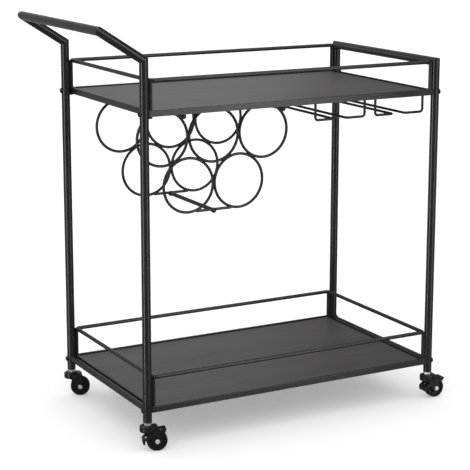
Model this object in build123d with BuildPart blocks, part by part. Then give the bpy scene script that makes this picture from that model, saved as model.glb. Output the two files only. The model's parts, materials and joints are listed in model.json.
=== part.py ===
from build123d import *
import os
from math import cos, radians, sin, sqrt

os.makedirs("parts", exist_ok=True)

# ---------------------------------------------------------------------------
# Driving dimensions, in millimetres. The frame stands on the floor at Z = 0,
# X runs along the cart away from the push handle, Y runs front to back.
# The origin is the middle of the footprint of the whole cart.
# ---------------------------------------------------------------------------
TUBE_R = 8.5                  # frame tube, outside radius
TUBE_WALL = 1.0
POST_X = 323.0                # half the distance between the end frames
POST_Y = 185.0                # half the distance between the posts of one end frame
CENTRE_X = 29.0               # middle of the four posts, seen from the origin
FOOT_Z = 56.5                 # open lower ends of the posts

HANDLE_BEND_Z = 742.0         # where the posts lean outwards
HANDLE_REACH = 87.0           # how far the grip bar stands out beyond the posts
HANDLE_RISE = 56.0            # how far it rises over that reach
HOOP_TOP_Z = 705.0            # top bar of the plain end frame
CROSS_BAR_R = 6.0             # stiffening bar low down in each end frame

TRAY_BOTTOMS = {"bottom": 74.5, "top": 638.5}
RIM_H = 12.0                  # height of the tray rim
RIM_T = 6.0                   # thickness of the tray rim
RIM_GAP = 0.2                 # rim to post
RIM_PROUD = 4.5               # rim face in front of the post axes
BOARD_T = 6.0
BOARD_RECESS = 2.5            # board face below the top of the rim
BOARD_GAP = 1.0
STRAP_W = 20.0                # flat straps below the board
STRAP_T = 2.0
STRAP_XS = (-215.0, 0.0, 215.0)

GALLERY_R = 3.9               # wire of the guard rails
GALLERY_INSET = 12.5          # wire axis inboard of the post axis
GALLERY_TOPS = {"bottom": 143.0, "top": 705.0}
GALLERY_CORNER_R = 7.0

BOLT_R = 3.0                  # M6 button head bolts through the posts
BOLT_CLEAR = 0.1
BOLT_HEAD_R = 5.3
BOLT_HEAD_H = 3.3

RING_WIRE_R = 2.8             # bottle rack wire
RING_OUTER_R = 55.9
RING_PITCH = 110.0            # neighbouring rings are welded where their wires meet
RING_Z = 579.6                # centres of the upper row
RACK_PLANE_Y = 94.0           # the two planes of rings stand this far from the middle
RACK_FIRST_X = -242.5         # first upper ring, from the middle of the posts
RACK_TAB_T = 3.0
TIE_R = 4.0                   # rods that join the two planes

STEM_WIRE_R = 2.6             # stemware hanger wire
STEM_RACK_XS = (109.0, 248.1)
STEM_HALF_WIDTH = 57.0        # uprights of the hanger wires
STEM_HALF_SLOT = 14.5         # rails each side of the slot
STEM_RAIL_Z = 603.5
STEM_HALF_LENGTH = 168.0
STEM_BEND_R = 6.0

WHEEL_R = 20.0
WHEEL_W = 14.0
TYRE_T = 3.5
TYRE_ROUND = 2.0
WHEEL_EDGE = 1.5              # plain ring left round the dished side of the wheel
WHEEL_DISH = 2.5
SPOKES = 6
SPOKE_W = 1.4
SPOKE_H = 2.2
HUB_R = 5.5
HUB_W = 15.2
AXLE_R = 2.5
AXLE_HEAD_R = 4.3
AXLE_HEAD_T = 2.2
AXLE_DIMPLE_R = 1.7
AXLE_DIMPLE_H = 1.2
AXLE_TAIL = 0.4               # axle end beyond its nut
AXLE_NUT_R = 4.6
AXLE_NUT_T = 2.2
CASTER_TRAIL = 17.5           # axle behind the swivel axis
STEM_R = 4.0                  # threaded caster stem
STEM_TOP_Z = 75.5
HEX_R = 6.9                   # across the corners of the stem's hexagon, halved
HEX_Z = 52.5                  # underside of the hexagon
KINGPIN_R = 3.5
FLANGE_R = 5.8                # peened end of the kingpin
FLANGE_T = 1.4
WASHER_R = 6.5
SEAT_GAP = 0.05               # washer above the head
HEAD_R = 15.5                 # swivel head of the fork
HEAD_BOTTOM_Z = 41.5
HEAD_TOP_Z = 51.5
HEAD_SHOULDER_H = 2.4
HEAD_SHOULDER_W = 4.5
FLANGE_Z = HEAD_BOTTOM_Z + 0.4
COUNTERBORE_Z = HEAD_BOTTOM_Z + 2.0
SKIRT_H = 3.5                 # the head's leading half hangs lower
SKIRT_END = 2.0
HOOD_TOP_Z = 49.5
HOOD_REAR = 21.0              # rear end of the hood, behind the swivel axis
HOOD_DROP = 5.0               # slanted rear edge of the hood
HOOD_BACK = 4.0
FORK_HALF_W = 10.3
CHEEK_T = 2.2
CHEEK_R = 8.5                 # rounded lower end of each cheek
CHEEK_FRONT = -5.0
FIT = 0.02                    # all round a pressed pin
RUNNING_FIT = 0.06            # all round a pin that turns
LEVER_T = 1.6
LEVER_GAP = 0.2
LEVER_PIVOT = (12.0, 34.5)    # behind the swivel axis, above the floor
LEVER_EYE_R = 4.2
LEVER_PIN_R = 2.0
LEVER_PIN_HEAD_R = 3.2
LEVER_PIN_HEAD_T = 1.2
LEVER_PRESSED = {"fl": 0.0, "fr": 5.0}   # degrees the rear fin stands pressed down
CASTER_ANGLES = {"fl": -18.0, "bl": -24.0, "fr": -2.0, "br": -12.0}

CORNERS = {
    "fl": (CENTRE_X - POST_X, -POST_Y),
    "bl": (CENTRE_X - POST_X, POST_Y),
    "fr": (CENTRE_X + POST_X, -POST_Y),
    "br": (CENTRE_X + POST_X, POST_Y),
}
LEFT_X = CENTRE_X - POST_X
RIGHT_X = CENTRE_X + POST_X
BORE_R = TUBE_R - TUBE_WALL
BOLT_ZS = [z + RIM_H / 2 for z in TRAY_BOTTOMS.values()]


def save(piece, name):
    """Label a finished builder's part and write it as one STEP file."""
    piece.part.label = name
    export_step(piece.part, f"parts/{name}.step")


# ---------------------------------------------------------------------------
# End frames: one bent tube each, a stiffening bar and the bolt holes
# ---------------------------------------------------------------------------
def end_frame(path_points, post_x):
    """Hollow tube along the points, with the low cross bar welded between its posts."""
    with BuildPart() as frame:
        with BuildLine() as route:
            Polyline(*path_points)
        with BuildSketch(Plane(origin=path_points[0], z_dir=(0, 0, 1))):
            Circle(TUBE_R)
        sweep(path=route.wire(), transition=Transition.RIGHT)
        with BuildSketch(Plane.XZ.offset(-POST_Y)):
            with Locations((post_x, TRAY_BOTTOMS["bottom"] + RIM_H / 2)):
                Circle(CROSS_BAR_R)
        extrude(amount=2 * POST_Y)
        with BuildSketch(Plane(origin=path_points[0], z_dir=(0, 0, 1))):
            Circle(BORE_R)
        sweep(path=route.wire(), transition=Transition.RIGHT, mode=Mode.SUBTRACT)
        with BuildSketch(Plane.YZ.offset(post_x - 2 * TUBE_R)):
            with Locations(*[(y, z) for y in (-POST_Y, POST_Y) for z in BOLT_ZS]):
                Circle(BOLT_R + BOLT_CLEAR)
        extrude(amount=4 * TUBE_R, mode=Mode.SUBTRACT)
    return frame


handle_x = LEFT_X - HANDLE_REACH
handle_z = HANDLE_BEND_Z + HANDLE_RISE
save(
    end_frame(
        [
            (LEFT_X, -POST_Y, FOOT_Z),
            (LEFT_X, -POST_Y, HANDLE_BEND_Z),
            (handle_x, -POST_Y, handle_z),
            (handle_x, POST_Y, handle_z),
            (LEFT_X, POST_Y, HANDLE_BEND_Z),
            (LEFT_X, POST_Y, FOOT_Z),
        ],
        LEFT_X,
    ),
    "left_end_frame",
)
save(
    end_frame(
        [
            (RIGHT_X, -POST_Y, FOOT_Z),
            (RIGHT_X, -POST_Y, HOOP_TOP_Z),
            (RIGHT_X, POST_Y, HOOP_TOP_Z),
            (RIGHT_X, POST_Y, FOOT_Z),
        ],
        RIGHT_X,
    ),
    "right_end_frame",
)

# ---------------------------------------------------------------------------
# Trays: rim with straps, board, guard rail; one set for each level
# ---------------------------------------------------------------------------
RIM_X = POST_X - TUBE_R - RIM_GAP
RIM_Y = POST_Y + RIM_PROUD
BOARD_X = RIM_X - RIM_T - BOARD_GAP
BOARD_Y = RIM_Y - RIM_T - BOARD_GAP
BOARD_UNDER = RIM_H - BOARD_RECESS - BOARD_T    # board's lower face above the rim's lower edge
BOARD_SCREW_R = 2.0
BOARD_SCREW_IN = 22.0
BOARD_SCREW_SPOTS = [(x, side * (RIM_Y - BOARD_SCREW_IN)) for x in STRAP_XS for side in (-1, 1)]
SCREW_HEAD_R = 4.0
SCREW_HEAD_H = 2.4
SCREW_CROWN = 1.2
SCREW_DEPTH = 4.5
DRIVE_W = 0.9                 # cross recess
DRIVE_DEPTH = 1.2
THREAD_FIT = 0.02             # all round a driven screw or bolt

RAIL_X = POST_X - GALLERY_INSET
RAIL_CORNERS = [(CENTRE_X + sx * RAIL_X, sy * POST_Y) for sx in (-1, 1) for sy in (-1, 1)]
STUB_H = 4.0                  # the top rail's left corner rods end below the rim
STUB_ROUND = 2.0
STRAP_TUCK = 0.5              # strap ends reach this far into the rim

for level, rim_bottom in TRAY_BOTTOMS.items():
    with BuildPart() as tray_frame:
        with BuildSketch(Plane.XY.offset(rim_bottom)):
            with Locations((CENTRE_X, 0)):
                Rectangle(2 * RIM_X, 2 * RIM_Y)
                Rectangle(2 * (RIM_X - RIM_T), 2 * (RIM_Y - RIM_T), mode=Mode.SUBTRACT)
        extrude(amount=RIM_H)
        top_edges = tray_frame.faces().sort_by(Axis.Z)[-1].outer_wire().edges()
        fillet(top_edges, radius=1.0)
        with BuildSketch(Plane.XY.offset(rim_bottom + BOARD_UNDER - STRAP_T)):
            with Locations(*[(CENTRE_X + x, 0) for x in STRAP_XS]):
                Rectangle(STRAP_W, 2 * (RIM_Y - RIM_T + STRAP_TUCK))
        extrude(amount=STRAP_T)
        with BuildSketch(Plane.XY.offset(rim_bottom)):
            with Locations(*[(CENTRE_X + x, y) for x, y in BOARD_SCREW_SPOTS]):
                Circle(BOARD_SCREW_R + 0.2)
        extrude(amount=RIM_H, mode=Mode.SUBTRACT)
        with BuildSketch(Plane.YZ.offset(CENTRE_X - RIM_X - 1)):
            with Locations((-POST_Y, rim_bottom + RIM_H / 2), (POST_Y, rim_bottom + RIM_H / 2)):
                Circle(BOLT_R + THREAD_FIT)
        extrude(amount=RIM_T + 1, mode=Mode.SUBTRACT)
        with BuildSketch(Plane.YZ.offset(CENTRE_X + RIM_X + 1)):
            with Locations((-POST_Y, rim_bottom + RIM_H / 2), (POST_Y, rim_bottom + RIM_H / 2)):
                Circle(BOLT_R + THREAD_FIT)
        extrude(amount=-(RIM_T + 1), mode=Mode.SUBTRACT)
        if level == "top":
            with BuildSketch(Plane.XY.offset(rim_bottom)):
                with Locations(*RAIL_CORNERS[:2]):
                    Circle(GALLERY_R)
            extrude(amount=-STUB_H)
            fillet(tray_frame.edges().group_by(Axis.Z)[0], radius=STUB_ROUND)
    save(tray_frame, f"{level}_tray_frame")

# Screws that hold racks under the top board share its underside with its own screws.
RING_XS = [RACK_FIRST_X + k * RING_PITCH for k in range(3)]
TAB_XS = [x + RING_PITCH / 2 for x in RING_XS[:2]]
TAB_REACH = 9.0               # tab screws stand inboard of the rings' plane
TAB_OVER = 14.0
TAB_W = 13.0
TAB_SPOTS = [(x, side * (RACK_PLANE_Y - TAB_REACH)) for x in TAB_XS for side in (-1, 1)]
STEM_PAD_SPOTS = [
    (rack_x + side * STEM_HALF_WIDTH, end * STEM_HALF_LENGTH)
    for rack_x in STEM_RACK_XS
    for side in (-1, 1)
    for end in (-1, 1)
]
STEM_SCREW_IN = 10.0          # screw inboard of the hanger wire's upright, along Y
STEM_SCREW_R = 1.5


def stem_screw_spots():
    """Screw centres of the stemware pads, seen from the middle of the posts."""
    return [(x, y - STEM_SCREW_IN if y > 0 else y + STEM_SCREW_IN) for x, y in STEM_PAD_SPOTS]


for level, rim_bottom in TRAY_BOTTOMS.items():
    underside = rim_bottom + BOARD_UNDER
    holes = list(BOARD_SCREW_SPOTS)
    narrow_holes = []
    if level == "top":
        holes += TAB_SPOTS
        narrow_holes = stem_screw_spots()
    with BuildPart() as board:
        with BuildSketch(Plane.XY.offset(underside)):
            with Locations((CENTRE_X, 0)):
                Rectangle(2 * BOARD_X, 2 * BOARD_Y)
        extrude(amount=BOARD_T)
        chamfer(board.faces().sort_by(Axis.Z)[-1].outer_wire().edges(), length=0.5)
        with BuildSketch(Plane.XY.offset(underside)):
            with Locations(*[(CENTRE_X + x, y) for x, y in holes]):
                Circle(BOARD_SCREW_R + THREAD_FIT)
            if narrow_holes:
                with Locations(*[(CENTRE_X + x, y) for x, y in narrow_holes]):
                    Circle(STEM_SCREW_R + THREAD_FIT)
        extrude(amount=SCREW_DEPTH + 0.3, mode=Mode.SUBTRACT)
    save(board, f"{level}_shelf_board")

for level, rim_bottom in TRAY_BOTTOMS.items():
    rail_z = GALLERY_TOPS[level]
    with BuildPart() as guard_rail:
        with BuildLine(Plane.XY.offset(rail_z)) as loop:
            Polyline(
                (CENTRE_X - RAIL_X, -POST_Y),
                (CENTRE_X + RAIL_X, -POST_Y),
                (CENTRE_X + RAIL_X, POST_Y),
                (CENTRE_X - RAIL_X, POST_Y),
                close=True,
            )
            fillet(loop.vertices(), radius=GALLERY_CORNER_R)
        with BuildSketch(Plane.YZ.offset(CENTRE_X)):
            with Locations((-POST_Y, rail_z)):
                Circle(GALLERY_R)
        sweep(path=loop.wire())
        with BuildSketch(Plane.XY.offset(rim_bottom + RIM_H)):
            with Locations(*RAIL_CORNERS):
                Circle(GALLERY_R)
        extrude(amount=rail_z - rim_bottom - RIM_H)
    save(guard_rail, f"{level}_guard_rail")

TOP_UNDERSIDE = TRAY_BOTTOMS["top"] + BOARD_UNDER

# ---------------------------------------------------------------------------
# Bottle rack: two planes of five rings, hung from tabs and joined by three rods
# ---------------------------------------------------------------------------
ROW_DROP = RING_PITCH * sqrt(3) / 2
LOWER_RING_XS = TAB_XS
RING_R = RING_OUTER_R - RING_WIRE_R
WELD = 0.8                    # welded wires share this much
HANG_WIRE_Z = RING_Z + RING_OUTER_R + RING_WIRE_R - 2 * WELD
UPPER_TIE = (45.3, 39.8)      # tie rod from the centre of the ring beside it
LOWER_TIE_DROP = 54.5         # lower tie rod below the centres of the lower rings
LOWER_TIE_Z = RING_Z - ROW_DROP - LOWER_TIE_DROP
LINK_Z = LOWER_TIE_Z + 2.0
LINK_IN = 17.0                # where the link wire leaves each lower ring
EYE_R = 5.5                   # flattened eye at the end of a stub wire
EYE_T = 2.4
TIES = [
    (RING_XS[0] + UPPER_TIE[0], RING_Z + UPPER_TIE[1]),
    (RING_XS[2] + UPPER_TIE[0], RING_Z + UPPER_TIE[1]),
    (RING_XS[1], LOWER_TIE_Z),
]
RACK_SCREW_R = 2.0
RACK_SCREW_LEN = 12.0
END_GAP = 0.2                 # wire ends stop short of the tie rods
STUB_START = sqrt(RING_R**2 - UPPER_TIE[1]**2)
STUB_END = UPPER_TIE[0] - TIE_R - END_GAP
STRAIGHT_WIRES = [
    (RING_XS[0], RING_XS[2], HANG_WIRE_Z),
    (LOWER_RING_XS[0] + LINK_IN, RING_XS[1] - TIE_R - END_GAP, LINK_Z),
    (RING_XS[1] + TIE_R + END_GAP, LOWER_RING_XS[1] - LINK_IN, LINK_Z),
    (RING_XS[0] + STUB_START, RING_XS[0] + STUB_END, RING_Z + UPPER_TIE[1]),
    (RING_XS[2] + STUB_START, RING_XS[2] + STUB_END, RING_Z + UPPER_TIE[1]),
]

for side, plane_y in (("front", -RACK_PLANE_Y), ("back", RACK_PLANE_Y)):
    ring_centres = [(x, RING_Z) for x in RING_XS] + [(x, RING_Z - ROW_DROP) for x in LOWER_RING_XS]
    with BuildPart() as rack:
        with Locations(*[(CENTRE_X + x, plane_y, z) for x, z in ring_centres]):
            Torus(RING_R, RING_WIRE_R, rotation=(90, 0, 0))
        for x_from, x_to, wire_z in STRAIGHT_WIRES:
            with BuildSketch(Plane.YZ.offset(CENTRE_X + x_from)):
                with Locations((plane_y, wire_z)):
                    Circle(RING_WIRE_R)
            extrude(amount=x_to - x_from)
        with BuildSketch(Plane.XZ.offset(-plane_y)):
            with Locations(*[(CENTRE_X + x, z) for x, z in TIES]):
                Circle(EYE_R)
        extrude(amount=EYE_T / 2, both=True)
        inboard = -1 if plane_y > 0 else 1
        with BuildSketch(Plane.XY.offset(TOP_UNDERSIDE)):
            with Locations(*[(CENTRE_X + x, plane_y + inboard * TAB_REACH / 2) for x in TAB_XS]):
                SlotOverall(TAB_REACH + TAB_OVER, TAB_W, rotation=90)
        extrude(amount=-RACK_TAB_T)
        with BuildSketch(Plane.XZ.offset(-plane_y)):
            with Locations(*[(CENTRE_X + x, z) for x, z in TIES]):
                Circle(RACK_SCREW_R + 0.05)
        extrude(amount=2 * EYE_T, both=True, mode=Mode.SUBTRACT)
        with BuildSketch(Plane.XY.offset(TOP_UNDERSIDE)):
            with Locations(*[(CENTRE_X + x, plane_y + inboard * TAB_REACH) for x in TAB_XS]):
                Circle(BOARD_SCREW_R + 0.1)
        extrude(amount=-RACK_TAB_T, mode=Mode.SUBTRACT)
    save(rack, f"wine_rack_{side}")

tie_half = RACK_PLANE_Y - EYE_T / 2
with BuildPart() as tie_rods:
    with BuildSketch(Plane.XZ):
        with Locations(*[(CENTRE_X + x, z) for x, z in TIES]):
            Circle(TIE_R)
    extrude(amount=tie_half, both=True)
    for end in (-1, 1):
        with BuildSketch(Plane.XZ.offset(end * tie_half)):
            with Locations(*[(CENTRE_X + x, z) for x, z in TIES]):
                Circle(RACK_SCREW_R + THREAD_FIT)
        extrude(amount=-end * (RACK_SCREW_LEN + 1), mode=Mode.SUBTRACT)
save(tie_rods, "wine_rack_tie_rods")


def round_head_screws(spots, head_top_z, shank_top_z, shank_r, head_r):
    """Pan head screws driven upwards; their heads hang below head_top_z."""
    with BuildPart() as screws:
        with BuildSketch(Plane.XY.offset(head_top_z)):
            with Locations(*spots):
                Circle(head_r)
        extrude(amount=-SCREW_HEAD_H)
        fillet(screws.faces().group_by(Axis.Z)[0].edges(), radius=SCREW_CROWN)
        with BuildSketch(Plane.XY.offset(head_top_z)):
            with Locations(*spots):
                Circle(shank_r)
        extrude(amount=shank_top_z - head_top_z)
        with BuildSketch(Plane.XY.offset(head_top_z - SCREW_HEAD_H)):
            with Locations(*spots):
                Rectangle(head_r, DRIVE_W)
                Rectangle(DRIVE_W, head_r)
        extrude(amount=DRIVE_DEPTH, mode=Mode.SUBTRACT)
    return screws


save(
    round_head_screws(
        [(CENTRE_X + x, y) for x, y in TAB_SPOTS],
        TOP_UNDERSIDE - RACK_TAB_T,
        TOP_UNDERSIDE + SCREW_DEPTH,
        BOARD_SCREW_R,
        SCREW_HEAD_R,
    ),
    "wine_rack_tab_screws",
)

with BuildPart() as tie_screws:
    for end in (-1, 1):
        outer_face = end * (RACK_PLANE_Y + EYE_T / 2)
        with BuildSketch(Plane.XZ.offset(outer_face)):
            with Locations(*[(CENTRE_X + x, z) for x, z in TIES]):
                Circle(SCREW_HEAD_R)
        extrude(amount=end * SCREW_HEAD_H)
        with BuildSketch(Plane.XZ.offset(outer_face)):
            with Locations(*[(CENTRE_X + x, z) for x, z in TIES]):
                Circle(RACK_SCREW_R)
        extrude(amount=-end * RACK_SCREW_LEN)
    fillet(tie_screws.faces().group_by(Axis.Y)[0].edges(), radius=SCREW_CROWN)
    fillet(tie_screws.faces().group_by(Axis.Y)[-1].edges(), radius=SCREW_CROWN)
save(tie_screws, "wine_rack_tie_screws")

# ---------------------------------------------------------------------------
# Stemware hangers: two bent wires each, welded to pads under the top board
# ---------------------------------------------------------------------------
STEM_PAD_T = 2.0
STEM_PAD_W = 6.0              # narrow, to sit beside the rim and clear of the strap
for name, rack_x in zip(("left", "right"), STEM_RACK_XS):
    with BuildPart() as hanger:
        for side in (-1, 1):
            upright_x = CENTRE_X + rack_x + side * STEM_HALF_WIDTH
            rail_x = CENTRE_X + rack_x + side * STEM_HALF_SLOT
            top_z = TOP_UNDERSIDE - STEM_PAD_T / 2
            with BuildLine() as route:
                FilletPolyline(
                    (upright_x, -STEM_HALF_LENGTH, top_z),
                    (upright_x, -STEM_HALF_LENGTH, STEM_RAIL_Z),
                    (rail_x, -STEM_HALF_LENGTH, STEM_RAIL_Z),
                    (rail_x, STEM_HALF_LENGTH, STEM_RAIL_Z),
                    (upright_x, STEM_HALF_LENGTH, STEM_RAIL_Z),
                    (upright_x, STEM_HALF_LENGTH, top_z),
                    radius=STEM_BEND_R,
                )
            with BuildSketch(Plane(origin=(upright_x, -STEM_HALF_LENGTH, top_z), z_dir=(0, 0, -1))):
                Circle(STEM_WIRE_R)
            sweep(path=route.wire())
        pads = [
            (CENTRE_X + x, y + (-STEM_SCREW_IN / 2 if y > 0 else STEM_SCREW_IN / 2))
            for x, y in STEM_PAD_SPOTS
            if abs(x - rack_x) < STEM_HALF_WIDTH + 1
        ]
        with BuildSketch(Plane.XY.offset(TOP_UNDERSIDE)):
            with Locations(*pads):
                SlotOverall(STEM_SCREW_IN + STEM_PAD_W, STEM_PAD_W, rotation=90)
        extrude(amount=-STEM_PAD_T)
        with BuildSketch(Plane.XY.offset(TOP_UNDERSIDE)):
            with Locations(
                *[(CENTRE_X + x, y) for x, y in stem_screw_spots() if abs(x - rack_x) < STEM_HALF_WIDTH + 1]
            ):
                Circle(STEM_SCREW_R + 0.1)
        extrude(amount=-STEM_PAD_T, mode=Mode.SUBTRACT)
    save(hanger, f"stemware_rack_{name}")

save(
    round_head_screws(
        [(CENTRE_X + x, y) for x, y in stem_screw_spots()],
        TOP_UNDERSIDE - STEM_PAD_T,
        TOP_UNDERSIDE + SCREW_DEPTH,
        STEM_SCREW_R,
        STEM_PAD_W / 2,
    ),
    "stemware_rack_screws",
)

for level, rim_bottom in TRAY_BOTTOMS.items():
    strap_under = rim_bottom + BOARD_UNDER - STRAP_T
    save(
        round_head_screws(
            [(CENTRE_X + x, y) for x, y in BOARD_SCREW_SPOTS],
            strap_under,
            rim_bottom + BOARD_UNDER + SCREW_DEPTH,
            BOARD_SCREW_R,
            SCREW_HEAD_R,
        ),
        f"{level}_board_screws",
    )

# ---------------------------------------------------------------------------
# Bolts that hold the trays between the end frames, and the threaded leg plugs
# ---------------------------------------------------------------------------
BOLT_LEN = 2 * TUBE_R + RIM_GAP + RIM_T
BOLT_CROWN = 2.4
SOCKET_R = 2.3                # hexagon socket, across its corners, halved
SOCKET_DEPTH = 2.0
with BuildPart() as tray_bolts:
    for post_x, outward in ((LEFT_X, -1), (RIGHT_X, 1)):
        seat = post_x + outward * TUBE_R
        spots = [(y, z) for y in (-POST_Y, POST_Y) for z in BOLT_ZS]
        with BuildSketch(Plane.YZ.offset(seat)):
            with Locations(*spots):
                Circle(BOLT_HEAD_R)
        extrude(amount=outward * BOLT_HEAD_H)
        with BuildSketch(Plane.YZ.offset(seat)):
            with Locations(*spots):
                Circle(BOLT_R)
        extrude(amount=-outward * BOLT_LEN)
    fillet(tray_bolts.faces().group_by(Axis.X)[0].edges(), radius=BOLT_CROWN)
    fillet(tray_bolts.faces().group_by(Axis.X)[-1].edges(), radius=BOLT_CROWN)
    for post_x, outward in ((LEFT_X, -1), (RIGHT_X, 1)):
        crown = post_x + outward * (TUBE_R + BOLT_HEAD_H)
        with BuildSketch(Plane.YZ.offset(crown)):
            with Locations(*[(y, z) for y in (-POST_Y, POST_Y) for z in BOLT_ZS]):
                RegularPolygon(radius=SOCKET_R, side_count=6)
        extrude(amount=-outward * SOCKET_DEPTH, mode=Mode.SUBTRACT)
save(tray_bolts, "tray_bolts")

PLUG_H = 20.0
with BuildPart() as leg_inserts:
    with BuildSketch(Plane.XY.offset(FOOT_Z)):
        with Locations(*CORNERS.values()):
            Circle(BORE_R - 0.05)
            Circle(STEM_R + THREAD_FIT, mode=Mode.SUBTRACT)
    extrude(amount=PLUG_H)
save(leg_inserts, "leg_inserts")

# ---------------------------------------------------------------------------
# Casters: stem fixed in the leg, fork that swivels on it, wheel, and brake lever
# ---------------------------------------------------------------------------
AXLE_SPOT = (CASTER_TRAIL, WHEEL_R)
LEVER_IN = FORK_HALF_W + LEVER_GAP
LEVER_OUT = LEVER_IN + LEVER_T
LEVER_SIDE = [
    (-9.6, 15.0), (-10.2, 24.0), (-3.4, 30.0), (8.0, 38.5), (20.0, 42.0), (34.5, 44.0),
    (31.6, 36.8), (24.0, 37.5), (12.0, 30.0), (0.0, 24.5), (-6.0, 22.5), (-6.0, 15.5),
]
LEVER_FIN = [(25.5, 41.6), (27.0, 40.3), (31.6, 36.8), (34.5, 44.0), (26.0, 43.0)]
LEVER_HOOK = [(-9.6, 15.0), (-10.2, 24.0), (-5.4, 28.2), (-6.0, 22.5), (-6.0, 15.5)]

for corner, (post_x, post_y) in CORNERS.items():
    turn = radians(CASTER_ANGLES[corner])
    trail = Vector(cos(turn), sin(turn), 0)
    across = Vector(-sin(turn), cos(turn), 0)
    post = Vector(post_x, post_y, 0)
    level_plane = Plane(origin=post, x_dir=trail, z_dir=(0, 0, 1))
    side_plane = Plane(origin=post, x_dir=trail, z_dir=across * -1)

    with BuildPart() as stem:
        with BuildSketch(level_plane.offset(HEX_Z)):
            RegularPolygon(radius=HEX_R, side_count=6)
        extrude(amount=FOOT_Z - HEX_Z)
        chamfer(stem.edges().filter_by(Plane.XY), length=0.4)
        with BuildSketch(level_plane.offset(HEX_Z)):
            Circle(STEM_R)
        extrude(amount=STEM_TOP_Z - HEX_Z)
        with BuildSketch(level_plane.offset(HEX_Z)):
            Circle(KINGPIN_R)
        extrude(amount=FLANGE_Z - HEX_Z)
        with BuildSketch(level_plane.offset(FLANGE_Z)):
            Circle(FLANGE_R)
        extrude(amount=FLANGE_T)
    save(stem, f"caster_{corner}_stem")

    with BuildPart() as thrust_washer:
        with BuildSketch(level_plane.offset(HEAD_TOP_Z + SEAT_GAP)):
            Circle(WASHER_R)
            Circle(KINGPIN_R + FIT, mode=Mode.SUBTRACT)
        extrude(amount=HEX_Z - HEAD_TOP_Z - SEAT_GAP)
    save(thrust_washer, f"caster_{corner}_thrust_washer")

    with BuildPart() as fork:
        with BuildSketch(level_plane.offset(HEAD_BOTTOM_Z)):
            Circle(HEAD_R)
        extrude(amount=HEAD_TOP_Z - HEAD_BOTTOM_Z)
        chamfer(fork.edges().group_by(Axis.Z)[-1], length=HEAD_SHOULDER_H, length2=HEAD_SHOULDER_W)
        with BuildSketch(level_plane.offset(HEAD_BOTTOM_Z)):
            Circle(HEAD_R)
            with Locations((SKIRT_END + HEAD_R, 0)):
                Rectangle(2 * HEAD_R, 2 * HEAD_R, mode=Mode.SUBTRACT)
        extrude(amount=-SKIRT_H)
        fillet(fork.edges().group_by(Axis.Z)[0].filter_by(GeomType.CIRCLE), radius=2.0)
        with BuildSketch(side_plane):
            with BuildLine():
                Polyline(
                    (0, HEAD_BOTTOM_Z),
                    (HOOD_REAR, HEAD_BOTTOM_Z),
                    (HOOD_REAR, HOOD_TOP_Z - HOOD_DROP),
                    (HOOD_REAR - HOOD_BACK, HOOD_TOP_Z),
                    (0, HOOD_TOP_Z),
                    close=True,
                )
            make_face()
        extrude(amount=FORK_HALF_W, both=True)
        for inner in (-FORK_HALF_W, FORK_HALF_W - CHEEK_T):
            with BuildSketch(side_plane.offset(inner)):
                with BuildLine():
                    Polyline((CHEEK_FRONT, HEAD_BOTTOM_Z + 1.5), (HOOD_REAR, HEAD_BOTTOM_Z + 1.5))
                with Locations(AXLE_SPOT):
                    Circle(CHEEK_R)
                make_hull()
            extrude(amount=CHEEK_T)
        with BuildSketch(level_plane.offset(HEAD_TOP_Z)):
            Circle(KINGPIN_R + 0.05)
        extrude(amount=-(HEAD_TOP_Z - HEAD_BOTTOM_Z), mode=Mode.SUBTRACT)
        with BuildSketch(level_plane.offset(COUNTERBORE_Z)):
            Circle(FLANGE_R + 0.3)
        extrude(amount=-2 * SKIRT_H, mode=Mode.SUBTRACT)
        with BuildSketch(side_plane):
            with Locations(AXLE_SPOT):
                Circle(AXLE_R + FIT)
            if corner in LEVER_PRESSED:
                with Locations(LEVER_PIVOT):
                    Circle(LEVER_PIN_R + FIT)
        extrude(amount=2 * FORK_HALF_W, both=True, mode=Mode.SUBTRACT)
    save(fork, f"caster_{corner}_fork")

    with BuildPart() as tyre:
        with BuildSketch(side_plane):
            with Locations(AXLE_SPOT):
                Circle(WHEEL_R)
        extrude(amount=WHEEL_W / 2, both=True)
        fillet(tyre.edges(), radius=TYRE_ROUND)
        with BuildSketch(side_plane):
            with Locations(AXLE_SPOT):
                Circle(WHEEL_R - TYRE_T)
        extrude(amount=WHEEL_W, both=True, mode=Mode.SUBTRACT)
    save(tyre, f"caster_{corner}_tyre")

    core_r = WHEEL_R - TYRE_T
    core_half_w = WHEEL_W / 2 - 1
    with BuildPart() as wheel:
        with BuildSketch(side_plane):
            with Locations(AXLE_SPOT):
                Circle(core_r)
        extrude(amount=core_half_w, both=True)
        for outside in (-1, 1):
            with BuildSketch(side_plane.offset(outside * core_half_w)):
                with Locations(AXLE_SPOT):
                    Circle(core_r - WHEEL_EDGE)
            extrude(amount=-outside * WHEEL_DISH, mode=Mode.SUBTRACT)
            with BuildSketch(side_plane.offset(outside * (core_half_w - WHEEL_DISH - 0.5))):
                with Locations(AXLE_SPOT):
                    with PolarLocations((HUB_R + core_r - WHEEL_EDGE) / 2, SPOKES):
                        Rectangle(core_r - HUB_R, SPOKE_W)
            extrude(amount=outside * SPOKE_H)
        with BuildSketch(side_plane):
            with Locations(AXLE_SPOT):
                Circle(HUB_R)
        extrude(amount=HUB_W / 2, both=True)
        with BuildSketch(side_plane):
            with Locations(AXLE_SPOT):
                Circle(AXLE_R + RUNNING_FIT)
        extrude(amount=HUB_W, both=True, mode=Mode.SUBTRACT)
    save(wheel, f"caster_{corner}_wheel")

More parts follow.
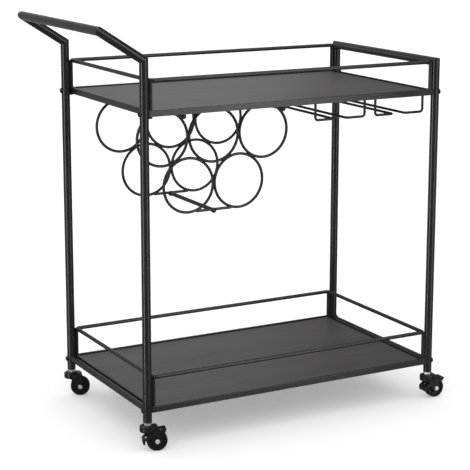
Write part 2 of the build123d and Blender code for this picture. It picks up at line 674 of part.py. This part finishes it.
    with BuildPart() as axle:
        with BuildSketch(side_plane.offset(FORK_HALF_W)):
            with Locations(AXLE_SPOT):
                Circle(AXLE_R)
        extrude(amount=-(2 * FORK_HALF_W + AXLE_NUT_T + AXLE_TAIL))
        with BuildSketch(side_plane.offset(FORK_HALF_W)):
            with Locations(AXLE_SPOT):
                Circle(AXLE_HEAD_R)
        extrude(amount=AXLE_HEAD_T)
        outer_face = axle.faces().sort_by(Axis(post, across))[0]
        chamfer(outer_face.edges(), length=0.6)
        with BuildSketch(side_plane.offset(FORK_HALF_W + AXLE_HEAD_T)):
            with Locations(AXLE_SPOT):
                Circle(AXLE_DIMPLE_R)
        extrude(amount=-AXLE_DIMPLE_H, mode=Mode.SUBTRACT)
    save(axle, f"caster_{corner}_axle")

    with BuildPart() as axle_nut:
        with BuildSketch(side_plane.offset(-FORK_HALF_W)):
            with Locations(AXLE_SPOT):
                RegularPolygon(radius=AXLE_NUT_R, side_count=6)
                Circle(AXLE_R + FIT, mode=Mode.SUBTRACT)
        extrude(amount=-AXLE_NUT_T)
    save(axle_nut, f"caster_{corner}_axle_nut")

    if corner in LEVER_PRESSED:
        hinge = side_plane.from_local_coords(Vector(*LEVER_PIVOT, 0))
        pivot_plane = Plane(origin=hinge, x_dir=trail, z_dir=across * -1)
        press = radians(LEVER_PRESSED[corner])
        lever_dir = trail * cos(press) - Vector(0, 0, sin(press))
        lever_plane = Plane(origin=hinge, x_dir=lever_dir, z_dir=across * -1)
        pivot_x, pivot_z = LEVER_PIVOT
        side, fin, hook = (
            [(x - pivot_x, z - pivot_z) for x, z in outline]
            for outline in (LEVER_SIDE, LEVER_FIN, LEVER_HOOK)
        )
        with BuildPart() as lever:
            for inner in (-LEVER_OUT, LEVER_IN):
                with BuildSketch(lever_plane.offset(inner)):
                    with BuildLine():
                        Polyline(*side, close=True)
                    make_face()
                    Circle(LEVER_EYE_R)
                extrude(amount=LEVER_T)
            for outline in (fin, hook):
                with BuildSketch(lever_plane):
                    with BuildLine():
                        Polyline(*outline, close=True)
                    make_face()
                extrude(amount=LEVER_OUT, both=True)
            with BuildSketch(lever_plane):
                Circle(LEVER_PIN_R + RUNNING_FIT)
            extrude(amount=2 * LEVER_OUT, both=True, mode=Mode.SUBTRACT)
        save(lever, f"caster_{corner}_brake_lever")

        pin_start = FORK_HALF_W - CHEEK_T + 0.1
        head_start = LEVER_OUT + 0.1
        with BuildPart() as lever_pins:
            for outside in (-1, 1):
                with BuildSketch(pivot_plane.offset(outside * pin_start)):
                    Circle(LEVER_PIN_R)
                extrude(amount=outside * (head_start - pin_start))
                with BuildSketch(pivot_plane.offset(outside * head_start)):
                    Circle(LEVER_PIN_HEAD_R)
                extrude(amount=outside * LEVER_PIN_HEAD_T)
        save(lever_pins, f"caster_{corner}_lever_pins")
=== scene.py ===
import json
from math import cos, pi, radians, sin

import bmesh
import bpy
from mathutils import Matrix, Vector


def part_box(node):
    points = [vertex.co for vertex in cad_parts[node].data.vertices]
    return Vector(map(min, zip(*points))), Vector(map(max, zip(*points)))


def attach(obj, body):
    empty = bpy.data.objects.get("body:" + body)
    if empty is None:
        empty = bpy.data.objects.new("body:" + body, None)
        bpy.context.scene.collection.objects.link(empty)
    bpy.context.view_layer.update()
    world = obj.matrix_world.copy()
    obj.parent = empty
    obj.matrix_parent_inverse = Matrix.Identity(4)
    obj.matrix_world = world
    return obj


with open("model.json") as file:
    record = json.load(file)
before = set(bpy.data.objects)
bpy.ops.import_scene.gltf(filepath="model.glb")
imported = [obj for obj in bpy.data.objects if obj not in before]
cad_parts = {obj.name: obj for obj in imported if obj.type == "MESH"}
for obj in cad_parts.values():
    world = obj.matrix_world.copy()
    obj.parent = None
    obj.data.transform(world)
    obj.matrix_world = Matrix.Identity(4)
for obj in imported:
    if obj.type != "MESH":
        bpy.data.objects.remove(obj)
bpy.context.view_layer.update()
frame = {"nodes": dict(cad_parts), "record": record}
NODES = frame["nodes"]
SLOT_OF = {s["node"]: s["material_slot"] for s in frame["record"]["subparts"]}
MM = 0.001


# ---------------------------------------------------------------------------
# Node helpers
# ---------------------------------------------------------------------------
class Shader:
    """A Principled material and short ways to feed it.

    Noise scales are per metre and bump distances are in metres.
    """

    def __init__(self, name, rough=0.5, metal=0.0, coat=0.0, coat_rough=0.2, specular=0.5):
        self.mat = bpy.data.materials.new(name)
        self.mat.use_nodes = True
        self.tree = self.mat.node_tree
        self.bsdf = self.tree.nodes["Principled BSDF"]
        self.bsdf.inputs["Roughness"].default_value = rough
        self.bsdf.inputs["Metallic"].default_value = metal
        self.bsdf.inputs["Coat Weight"].default_value = coat
        self.bsdf.inputs["Coat Roughness"].default_value = coat_rough
        self.bsdf.inputs["Specular IOR Level"].default_value = specular
        self.coord = self.tree.nodes.new("ShaderNodeTexCoord").outputs["Object"]

    def mapped(self, scale):
        node = self.tree.nodes.new("ShaderNodeMapping")
        node.inputs["Scale"].default_value = scale
        self.tree.links.new(self.coord, node.inputs["Vector"])
        return node.outputs["Vector"]

    def noise(self, scale, detail=4.0, rough=0.55, vector=None, distortion=0.0):
        node = self.tree.nodes.new("ShaderNodeTexNoise")
        node.inputs["Scale"].default_value = scale
        node.inputs["Detail"].default_value = detail
        node.inputs["Roughness"].default_value = rough
        node.inputs["Distortion"].default_value = distortion
        self.tree.links.new(vector if vector is not None else self.coord, node.inputs["Vector"])
        return node.outputs["Fac"]

    def ramp(self, value, stops):
        """Colour over value, from (place, colour) stops."""
        node = self.tree.nodes.new("ShaderNodeValToRGB")
        elements = node.color_ramp.elements
        for i, (place, colour) in enumerate(stops):
            stop = elements[i] if i < 2 else elements.new(place)
            stop.position = place
            stop.color = (*colour, 1.0)
        self.tree.links.new(value, node.inputs["Fac"])
        return node.outputs["Color"]

    def spread(self, value, low, high, from_low=0.3, from_high=0.7):
        """Value mapped to low..high, clamped at both ends."""
        node = self.tree.nodes.new("ShaderNodeMapRange")
        node.inputs["From Min"].default_value = from_low
        node.inputs["From Max"].default_value = from_high
        node.inputs["To Min"].default_value = low
        node.inputs["To Max"].default_value = high
        self.tree.links.new(value, node.inputs["Value"])
        return node.outputs["Result"]

    def math(self, operation, a, b=0.0):
        node = self.tree.nodes.new("ShaderNodeMath")
        node.operation = operation
        for socket, value in zip(node.inputs, (a, b)):
            if isinstance(value, (int, float)):
                socket.default_value = value
            else:
                self.tree.links.new(value, socket)
        return node.outputs["Value"]

    def colour(self, output):
        if isinstance(output, tuple):
            self.bsdf.inputs["Base Color"].default_value = (*output, 1.0)
        else:
            self.tree.links.new(output, self.bsdf.inputs["Base Color"])

    def roughness(self, output):
        self.tree.links.new(output, self.bsdf.inputs["Roughness"])

    def glow(self, strength):
        self.bsdf.inputs["Emission Color"].default_value = (1, 1, 1, 1)
        self.bsdf.inputs["Emission Strength"].default_value = strength

    def bump(self, height, distance, strength, under=None):
        """Relief on the surface, on top of the normal given as under."""
        node = self.tree.nodes.new("ShaderNodeBump")
        node.inputs["Distance"].default_value = distance
        node.inputs["Strength"].default_value = strength
        self.tree.links.new(height, node.inputs["Height"])
        if under is not None:
            self.tree.links.new(under, node.inputs["Normal"])
        self.tree.links.new(node.outputs["Normal"], self.bsdf.inputs["Normal"])
        return node.outputs["Normal"]


def grey(value, warm=0.0):
    return (value * (1 + warm), value, value * (1 - warm))


def mesh_object(name, bm):
    """New object from bm, which is freed."""
    mesh = bpy.data.meshes.new(name)
    bm.to_mesh(mesh)
    bm.free()
    thing = bpy.data.objects.new(name, mesh)
    bpy.context.scene.collection.objects.link(thing)
    return thing


def box_of(node):
    return [Vector(corner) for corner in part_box(node)]


# ---------------------------------------------------------------------------
# Materials, one for each slot
# ---------------------------------------------------------------------------
def powder_coat(name, base, rough):
    """Satin black powder coat: orange-peel grain, cloudy tone, slightly uneven gloss."""
    s = Shader(name, rough=rough, specular=0.5)
    cloud = s.noise(9.0, 5.0)
    fine = s.noise(420.0, 3.0)
    s.colour(s.ramp(cloud, [(0.30, grey(base * 0.82, 0.01)), (0.72, grey(base * 1.20, 0.01))]))
    uneven = s.spread(cloud, rough - 0.05, rough + 0.05)
    s.roughness(s.math("ADD", uneven, s.spread(fine, -0.04, 0.05)))
    peel = s.bump(s.noise(850.0, 2.0), 0.00006, 0.55)
    s.bump(s.noise(170.0, 2.0), 0.00010, 0.35, peel)
    return s.mat


def edge_inset(s, low, high):
    """Distance in from the nearest side of the box low..high, seen from above."""
    split = s.tree.nodes.new("ShaderNodeSeparateXYZ")
    s.tree.links.new(s.coord, split.inputs["Vector"])
    insets = []
    for axis in range(2):
        off_middle = s.math("SUBTRACT", split.outputs[axis], (low[axis] + high[axis]) / 2)
        half = (high[axis] - low[axis]) / 2
        insets.append(s.math("SUBTRACT", half, s.math("ABSOLUTE", off_middle)))
    return s.math("MINIMUM", *insets)


def board_foil():
    """Satin grey foil with a fine wood grain running along the cart, painted shade in the gap
    along its edges and a painted highlight line just inside them.
    """
    s = Shader("board", rough=0.42, specular=0.45)
    inset = edge_inset(s, *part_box("top_shelf_board"))
    # Painted shade: the board is darker within 2 mm of its edge, standing in for the shadow in the
    # gap under the rim.
    painted_gap_shade = s.spread(inset, -0.30, 0.0, 1.2 * MM, 2.0 * MM)
    # Painted highlight: a lighter band 5.5 to 9 mm in from the edge, standing in for light caught
    # along the board's edge.
    highlight_start = s.spread(inset, 0.0, 0.10, 5.5 * MM, 6.3 * MM)
    highlight_end = s.spread(inset, 0.0, 0.10, 8.0 * MM, 9.0 * MM)
    painted_edge_highlight = s.math("SUBTRACT", highlight_start, highlight_end)
    long_streaks = s.noise(1.0, 6.0, 0.62, s.mapped((2.6, 55.0, 55.0)), 0.35)
    fine_streaks = s.noise(1.0, 5.0, 0.7, s.mapped((9.0, 420.0, 420.0)), 0.2)
    pores = s.noise(1.0, 3.0, 0.6, s.mapped((30.0, 900.0, 900.0)))
    cloud = s.noise(3.2, 3.0)
    tone = s.math("MULTIPLY", long_streaks, 0.55)
    tone = s.math("ADD", tone, s.math("MULTIPLY", fine_streaks, 0.30))
    tone = s.math("ADD", tone, s.math("MULTIPLY", cloud, 0.15))
    tone = s.math("ADD", tone, s.math("ADD", painted_gap_shade, painted_edge_highlight))
    dark, middle, light = (0.051, 0.048, 0.049), (0.063, 0.060, 0.061), (0.081, 0.077, 0.078)
    s.colour(s.ramp(tone, [(0.34, dark), (0.50, middle), (0.66, light)]))
    s.roughness(s.spread(fine_streaks, 0.34, 0.46))
    grain = s.bump(fine_streaks, 0.00012, 0.5)
    s.bump(pores, 0.00006, 0.4, grain)
    return s.mat


def black_oxide():
    """Blackened steel screws: part metal, blotchy sheen."""
    s = Shader("black_fastener", rough=0.36, metal=0.65)
    cloud = s.noise(160.0, 4.0)
    s.colour(s.ramp(cloud, [(0.3, grey(0.018)), (0.75, grey(0.040))]))
    s.roughness(s.spread(cloud, 0.28, 0.46))
    s.bump(s.noise(1500.0, 2.0), 0.00003, 0.5)
    return s.mat


def moulded(name, base, rough):
    """Moulded plastic: fine spark-eroded texture and flow-line tone."""
    s = Shader(name, rough=rough, specular=0.45)
    cloud = s.noise(60.0, 4.0)
    s.colour(s.ramp(cloud, [(0.3, grey(base * 0.85)), (0.7, grey(base * 1.2))]))
    s.roughness(s.spread(cloud, rough - 0.06, rough + 0.06))
    s.bump(s.noise(1600.0, 2.0), 0.00005, 0.6)
    return s.mat


def gloss_black():
    """Thin clear coat over black, on the swivel heads and forks."""
    s = Shader("caster_black", rough=0.30, coat=0.25, coat_rough=0.12, specular=0.35)
    cloud = s.noise(70.0, 4.0)
    s.colour(s.ramp(cloud, [(0.3, grey(0.006)), (0.7, grey(0.012))]))
    s.roughness(s.spread(cloud, 0.24, 0.38))
    s.bump(s.noise(500.0, 2.0), 0.00005, 0.5)
    return s.mat


def zinc():
    """Bright zinc plate, part metal and part white so that it stays light in the soft studio."""
    s = Shader("zinc", rough=0.34, metal=0.60)
    cloud = s.noise(220.0, 5.0)
    s.colour(s.ramp(cloud, [(0.25, (0.80, 0.80, 0.79)), (0.75, (0.95, 0.95, 0.93))]))
    s.roughness(s.spread(cloud, 0.24, 0.44))
    s.bump(s.noise(1800.0, 3.0), 0.00002, 0.5)
    return s.mat


def tyre_rubber():
    """Matt rubber with a fine grain."""
    s = Shader("tyre", rough=0.62, specular=0.25)
    cloud = s.noise(90.0, 5.0)
    s.colour(s.ramp(cloud, [(0.3, grey(0.006)), (0.75, grey(0.014))]))
    s.roughness(s.spread(cloud, 0.54, 0.74))
    s.bump(s.noise(1300.0, 3.0), 0.00008, 0.6)
    return s.mat


MATERIALS = {
    "powder_black": powder_coat("powder_black", 0.014, 0.24),
    "rack_wire": powder_coat("rack_wire", 0.013, 0.26),
    "board": board_foil(),
    "black_fastener": black_oxide(),
    "black_plastic": moulded("black_plastic", 0.012, 0.50),
    "caster_black": gloss_black(),
    "zinc": zinc(),
    "tyre": tyre_rubber(),
    "wheel_core": moulded("wheel_core", 0.009, 0.45),
    "lever_plastic": moulded("lever_plastic", 0.008, 0.42),
}
for name, node in NODES.items():
    node.data.materials.clear()
    node.data.materials.append(MATERIALS[SLOT_OF[name]])

# ---------------------------------------------------------------------------
# Weld beads: small rippled fillets where the CAD pieces meet
# ---------------------------------------------------------------------------
BEAD_RIPPLES = 18
RAIL_ROD_R = 3.9 * MM
CROSS_BAR_R = 6.0 * MM
RING_PITCH = 110 * MM
ROW_DROP = RING_PITCH * 3**0.5 / 2
RING_OUTER_R = 55.9 * MM
RING_TOP_WELD_Z = 55.2 * MM      # above a ring's centre
RING_CENTRE_DROP = 62.4 * MM     # from the top of the rack
RING_PLANE_INSET = 7.0 * MM      # from the outer face of the rack's tabs to its wires


def bead_loop(bm, centre, axis, radius, thick):
    """Closed rippled ring of weld round an axis."""
    axis = Vector(axis).normalized()
    side = axis.orthogonal().normalized()
    other = axis.cross(side)
    steps, around = BEAD_RIPPLES * 4, 8
    rings = []
    for i in range(steps):
        angle = 2 * pi * i / steps
        out = side * cos(angle) + other * sin(angle)
        swell = 1 + 0.16 * sin(angle * BEAD_RIPPLES) + 0.10 * sin(angle * 3 + radius * 900)
        swell = thick * swell
        ring = []
        for j in range(around):
            turn = 2 * pi * j / around
            place = centre + out * (radius + swell * cos(turn)) + axis * swell * sin(turn)
            ring.append(bm.verts.new(place))
        rings.append(ring)
    for i in range(steps):
        here, there = rings[i], rings[(i + 1) % steps]
        for j in range(around):
            bm.faces.new((here[j], there[j], there[(j + 1) % around], here[(j + 1) % around]))


def blob(bm, centre, sizes, turn=0.0):
    """A single lumpy spot of weld with half-sizes across, through and up, turned about Y."""
    rows, cols = 6, 12
    grid = []
    for i in range(1, rows):
        phi = pi * i / rows
        ring = []
        for j in range(cols):
            theta = 2 * pi * j / cols
            lump = 1 + 0.07 * sin(3 * theta + 40 * centre.x) * sin(2 * phi)
            x = sizes[0] * sin(phi) * cos(theta) * lump
            z = sizes[2] * sin(phi) * sin(theta) * lump
            y = sizes[1] * cos(phi)
            turned = Vector((x * cos(turn) - z * sin(turn), y, x * sin(turn) + z * cos(turn)))
            ring.append(bm.verts.new(centre + turned))
        grid.append(ring)
    near = bm.verts.new(centre + Vector((0, sizes[1], 0)))
    far = bm.verts.new(centre - Vector((0, sizes[1], 0)))
    for a, b in zip(grid, grid[1:]):
        for j in range(cols):
            bm.faces.new((a[j], b[j], b[(j + 1) % cols], a[(j + 1) % cols]))
    for j in range(cols):
        bm.faces.new((near, grid[0][j], grid[0][(j + 1) % cols]))
        bm.faces.new((far, grid[-1][(j + 1) % cols], grid[-1][j]))


def finish_piece(name, bm, body, slot):
    """Smooth weld piece that rides on body."""
    bmesh.ops.recalc_face_normals(bm, faces=bm.faces)
    piece = mesh_object(name, bm)
    for face in piece.data.polygons:
        face.use_smooth = True
    piece.data.materials.append(MATERIALS[slot])
    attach(piece, body)


left_low, left_high = box_of("left_end_frame")
right_low, right_high = box_of("right_end_frame")
TUBE_R = (right_high.x - right_low.x) / 2
POST_Y = right_high.y - TUBE_R
POST_XS = (left_high.x - TUBE_R, (right_low.x + right_high.x) / 2)

for level in ("bottom", "top"):
    rail_low, rail_high = box_of(f"{level}_guard_rail")
    bm = bmesh.new()
    for x in (rail_low.x + RAIL_ROD_R, rail_high.x - RAIL_ROD_R):
        for y in (rail_low.y + RAIL_ROD_R, rail_high.y - RAIL_ROD_R):
            foot = Vector((x, y, rail_low.z))
            bead_loop(bm, foot, (0, 0, 1), RAIL_ROD_R + 0.1 * MM, 0.75 * MM)
    finish_piece(f"{level}_rail_welds", bm, "cart", "powder_black")

tray_low, tray_high = box_of("bottom_tray_frame")
bm = bmesh.new()
for x in POST_XS:
    for y, inward in ((-POST_Y, 1), (POST_Y, -1)):
        end = Vector((x, y + inward * (TUBE_R - 1.0 * MM), (tray_low.z + tray_high.z) / 2))
        bead_loop(bm, end, (0, 1, 0), CROSS_BAR_R, 0.9 * MM)
finish_piece("cross_bar_welds", bm, "cart", "powder_black")

for side in ("front", "back"):
    rack_low, rack_high = box_of(f"wine_rack_{side}")
    ring_z = rack_high.z - RING_CENTRE_DROP
    plane_y = rack_low.y + RING_PLANE_INSET if side == "front" else rack_high.y - RING_PLANE_INSET
    first_x = rack_low.x + RING_OUTER_R
    upper = [Vector((first_x + k * RING_PITCH, plane_y, ring_z)) for k in range(3)]
    lower_z = ring_z - ROW_DROP
    lower = [Vector((first_x + (k + 0.5) * RING_PITCH, plane_y, lower_z)) for k in range(2)]
    bm = bmesh.new()
    pairs = list(zip(upper, upper[1:])) + [(lower[0], lower[1])]
    pairs += [(lower[k], upper[k + j]) for k in range(2) for j in range(2)]
    for a, b in pairs:
        turn = (b - a).angle(Vector((1, 0, 0)))
        blob(bm, (a + b) / 2, (2.3 * MM, 3.1 * MM, 4.6 * MM), turn)
    for a in upper:
        blob(bm, a + Vector((0, 0, RING_TOP_WELD_Z)), (5.0 * MM, 3.1 * MM, 1.9 * MM))
    finish_piece(f"wine_rack_{side}_welds", bm, "cart", "rack_wire")

# ---------------------------------------------------------------------------
# Floor, light and camera
# ---------------------------------------------------------------------------
FLOOR_HALF = 9.0
IMAGE_WIDTH = 470
SENSOR_WIDTH = 36
REACH = 3.0                      # distance of the upright cards from the cart's middle
# name, bearing in degrees, bottom, top, width, strength
CARDS = (
    ("card_back", 167, -0.7, 2.8, 2.2, 0.45),
    ("card_back_left", 210, -0.7, 2.4, 2.4, 0.33),
    ("card_left", -79, -0.85, 2.4, 0.7, 6.0),
    ("card_right", 26, -0.72, 2.4, 0.8, 3.0),
)


def emission_world(strength):
    world = bpy.data.worlds.new("studio")
    bpy.context.scene.world = world
    world.use_nodes = True
    background = world.node_tree.nodes["Background"]
    background.inputs["Color"].default_value = (1, 1, 1, 1)
    background.inputs["Strength"].default_value = strength


def studio_floor():
    bm = bmesh.new()
    bmesh.ops.create_grid(bm, x_segments=8, y_segments=8, size=FLOOR_HALF)
    floor = mesh_object("floor", bm)
    s = Shader("floor_white", rough=0.9, specular=0.1)
    s.colour((0.90, 0.90, 0.90))
    s.glow(0.31)
    floor.data.materials.append(s.mat)
    floor.visible_glossy = False


def white_shell(name, radius, strength, to_camera):
    """Evenly glowing dome: either what the camera sees behind the cart, or its soft fill light."""
    bm = bmesh.new()
    bmesh.ops.create_uvsphere(bm, u_segments=32, v_segments=16, radius=radius)
    shell = mesh_object(name, bm)
    s = Shader(name, specular=0.0)
    s.colour((0.0, 0.0, 0.0))
    s.glow(strength)
    shell.data.materials.append(s.mat)
    shell.visible_camera = to_camera
    shell.visible_diffuse = not to_camera
    shell.visible_glossy = False
    shell.visible_shadow = False
    shell.visible_transmission = False


def glowing_quad(name, corners, strength):
    """Flat glowing card seen only in reflections."""
    bm = bmesh.new()
    bm.faces.new([bm.verts.new(corner) for corner in corners])
    card = mesh_object(name, bm)
    s = Shader(name, specular=0.0)
    s.colour((0.0, 0.0, 0.0))
    s.glow(strength)
    s.mat.cycles.emission_sampling = "NONE"
    card.data.materials.append(s.mat)
    card.visible_camera = False
    card.visible_diffuse = False
    card.visible_shadow = False
    card.visible_transmission = False


def overhead_card(name, low, high, height, strength):
    (x0, y0), (x1, y1) = low, high
    plan = ((x0, y0), (x1, y0), (x1, y1), (x0, y1))
    glowing_quad(name, [(x, y, height) for x, y in plan], strength)


def upright_card(name, bearing, low, high, width, strength):
    """Card standing round the cart: bearing is in degrees to the right of -Y."""
    facing = radians(bearing)
    middle = Vector((sin(facing), -cos(facing), 0)) * REACH
    side = Vector((cos(facing), sin(facing), 0)) * width / 2
    near, far = middle - side, middle + side
    corners = ((near, low), (far, low), (far, high), (near, high))
    glowing_quad(name, [(p.x, p.y, z) for p, z in corners], strength)


studio_floor()
overhead_card("card_above", (-1.6, -1.2), (0.9, 2.2), 2.6, 1.1)
for card in CARDS:
    upright_card(*card)
white_shell("backdrop", 11.0, 1.0, True)
white_shell("fill", 10.5, 0.62, False)
emission_world(0.12)
sun_data = bpy.data.lights.new("overhead", "SUN")
sun_data.energy = 2.25
sun_data.angle = radians(100)
sun = bpy.data.objects.new("overhead", sun_data)
bpy.context.scene.collection.objects.link(sun)
sun.rotation_euler = (radians(12), radians(-10), 0)

CAMERA_AT = Vector((-1.4716, -2.6817, 1.0547))
YAW, PITCH, ROLL = 0.5005, -0.2037, 0.0011
FOCAL = 1533.7                   # in steps of 1/470 of the frame's width
forward = Vector((sin(YAW) * cos(PITCH), cos(YAW) * cos(PITCH), sin(PITCH)))
right = Vector((cos(YAW), -sin(YAW), 0))
up = right.cross(forward)
right, up = right * cos(ROLL) + up * sin(ROLL), up * cos(ROLL) - right * sin(ROLL)
camera_data = bpy.data.cameras.new("camera")
camera_data.sensor_width = SENSOR_WIDTH
camera_data.lens = FOCAL / IMAGE_WIDTH * SENSOR_WIDTH
camera_data.shift_y = -35 / IMAGE_WIDTH
camera = bpy.data.objects.new("camera", camera_data)
bpy.context.scene.collection.objects.link(camera)
facing = Matrix((right, up, -forward)).transposed().to_4x4()
camera.matrix_world = Matrix.Translation(CAMERA_AT) @ facing
bpy.context.scene.camera = camera
bpy.context.scene.view_settings.view_transform = "Standard"
